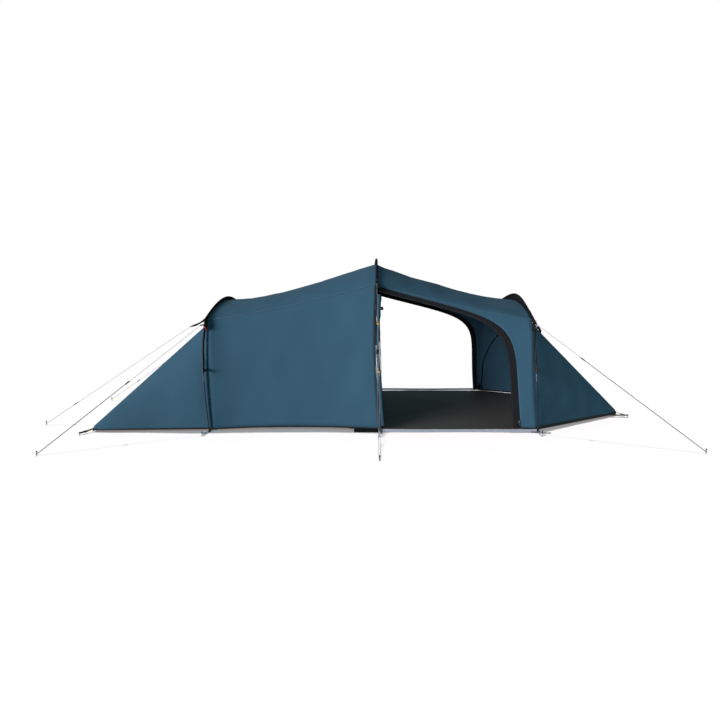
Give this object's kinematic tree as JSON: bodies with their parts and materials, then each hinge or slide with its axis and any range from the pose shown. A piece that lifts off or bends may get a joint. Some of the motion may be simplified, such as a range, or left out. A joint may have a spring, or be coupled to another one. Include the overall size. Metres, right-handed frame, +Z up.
{
  "type": "tunnel tent",
  "caption": "Three-hoop tunnel tent pitched on guylines, with rolled-up side doors, an inner tent at one end and a pointed porch at the other.",
  "frame": {"origin": "centre of the tent's footprint without its guylines, on the ground", "axes": "+X along the tent towards the living end, +Y towards the back doorway, +Z up"},
  "size_m": [5.0673, 3.4676, 1.4535],
  "materials": {
    "fly_roof": "coated ripstop polyester, roof",
    "fly_side": "coated ripstop polyester, sides and rolled doors",
    "fly_end": "coated ripstop polyester, sloping ends",
    "band": "matt reinforcement fabric",
    "black_fabric": "matt black fabric",
    "pole": "dark anodised tube",
    "toggle": "moulded",
    "runner": "moulded",
    "zip": "painted die-cast",
    "groundsheet": "coated polyester",
    "inner": "light breathable polyester",
    "inner_wall": "breathable polyester and mesh",
    "cord": "braided reflective cord",
    "peg": "bare metal"
  },
  "bodies": {
    "tent": {"roof_sleeping": "fly_roof", "roof_living": "fly_roof", "side_front_sleeping": "fly_side", "side_back_sleeping": "fly_side", "side_front_living": "fly_side", "door_band_front": "band", "side_back_living": "fly_side", "door_band_back": "band", "end_left_front": "fly_end", "end_left_back": "fly_end", "end_left_slope": "fly_end", "end_right_front": "fly_end", "end_right_back": "fly_end", "end_right_slope": "fly_end", "pole_left": "pole", "pole_sleeve_left": "black_fabric", "pole_centre": "pole", "pole_sleeve_centre": "black_fabric", "pole_right": "pole", "pole_sleeve_right": "black_fabric", "vent_hood_left": "black_fabric", "vent_hood_right": "black_fabric", "door_roll_front": "fly_side", "door_roll_back": "fly_side", "groundsheet_living": "groundsheet", "inner_floor": "groundsheet", "inner_body": "inner", "inner_front_wall": "inner_wall", "inner_door_roll": "inner_wall", "guyline_hood_front": "cord", "peg_hood_front": "peg", "guyline_hood_back": "cord", "peg_hood_back": "peg", "guyline_left_front": "cord", "peg_left_front": "peg", "guyline_left_back": "cord", "peg_left_back": "peg", "guyline_centre_front": "cord", "peg_centre_front": "peg", "guyline_centre_back": "cord", "peg_centre_back": "peg", "guyline_right_front": "cord", "peg_right_front": "peg", "guyline_right_back": "cord", "peg_right_back": "peg"},
    "runner_hood_front": {"runner_hood_front": "runner"},
    "runner_hood_back": {"runner_hood_back": "runner"},
    "runner_left_front": {"runner_left_front": "runner"},
    "runner_left_back": {"runner_left_back": "runner"},
    "runner_centre_front": {"runner_centre_front": "runner"},
    "runner_centre_back": {"runner_centre_back": "runner"},
    "runner_right_front": {"runner_right_front": "runner"},
    "runner_right_back": {"runner_right_back": "runner"},
    "toggle_front_lower": {"toggle_front_lower": "toggle"},
    "toggle_front_upper": {"toggle_front_upper": "toggle"},
    "zip_slider_front": {"zip_slider_front": "zip"},
    "toggle_back_lower": {"toggle_back_lower": "toggle"},
    "toggle_back_upper": {"toggle_back_upper": "toggle"},
    "zip_slider_back": {"zip_slider_back": "zip"}
  },
  "joints": [
    {"name": "runner_hood_front_slide", "type": "slide", "parent": "tent", "child": "runner_hood_front", "axis": [0.8156, 0.1489, 0.5591], "range_m": [-0.2, 0]},
    {"name": "runner_hood_back_slide", "type": "slide", "parent": "tent", "child": "runner_hood_back", "axis": [0.8113, 0.1226, 0.5716], "range_m": [-0.25, 0]},
    {"name": "runner_left_front_slide", "type": "slide", "parent": "tent", "child": "runner_left_front", "axis": [0.6249, 0.5227, 0.58], "range_m": [-0.65, 0]},
    {"name": "runner_left_back_slide", "type": "slide", "parent": "tent", "child": "runner_left_back", "axis": [0.6249, -0.5227, 0.58], "range_m": [-0.65, 0]},
    {"name": "runner_centre_front_slide", "type": "slide", "parent": "tent", "child": "runner_centre_front", "axis": [0.002, 0.6349, 0.7726], "range_m": [-0.75, 0]},
    {"name": "runner_centre_back_slide", "type": "slide", "parent": "tent", "child": "runner_centre_back", "axis": [0.002, -0.6349, 0.7726], "range_m": [-0.75, 0]},
    {"name": "runner_right_front_slide", "type": "slide", "parent": "tent", "child": "runner_right_front", "axis": [-0.6551, 0.486, 0.5785], "range_m": [-0.9, 0]},
    {"name": "runner_right_back_slide", "type": "slide", "parent": "tent", "child": "runner_right_back", "axis": [-0.6551, -0.486, 0.5785], "range_m": [-0.9, 0]},
    {"name": "toggle_front_lower_turn", "type": "hinge", "parent": "tent", "child": "toggle_front_lower", "pos_m": [0.0511, -0.9029, 0.48842], "axis": [0, 1, 0], "range_deg": [-40, 40]},
    {"name": "toggle_front_upper_turn", "type": "hinge", "parent": "tent", "child": "toggle_front_upper", "pos_m": [0.04717, -0.80758, 0.87497], "axis": [0, 1, 0], "range_deg": [-40, 40]},
    {"name": "zip_slider_front_slide", "type": "slide", "parent": "tent", "child": "zip_slider_front", "axis": [-0.0733, 0.0815, 0.994], "range_m": [0, 0.28]},
    {"name": "toggle_back_lower_turn", "type": "hinge", "parent": "tent", "child": "toggle_back_lower", "pos_m": [0.0511, 0.9029, 0.48842], "axis": [0, 1, 0], "range_deg": [-40, 40]},
    {"name": "toggle_back_upper_turn", "type": "hinge", "parent": "tent", "child": "toggle_back_upper", "pos_m": [0.04717, 0.80758, 0.87497], "axis": [0, 1, 0], "range_deg": [-40, 40]},
    {"name": "zip_slider_back_slide", "type": "slide", "parent": "tent", "child": "zip_slider_back", "axis": [-0.0741, -0.0799, 0.9941], "range_m": [0, 0.28]}
  ]
}
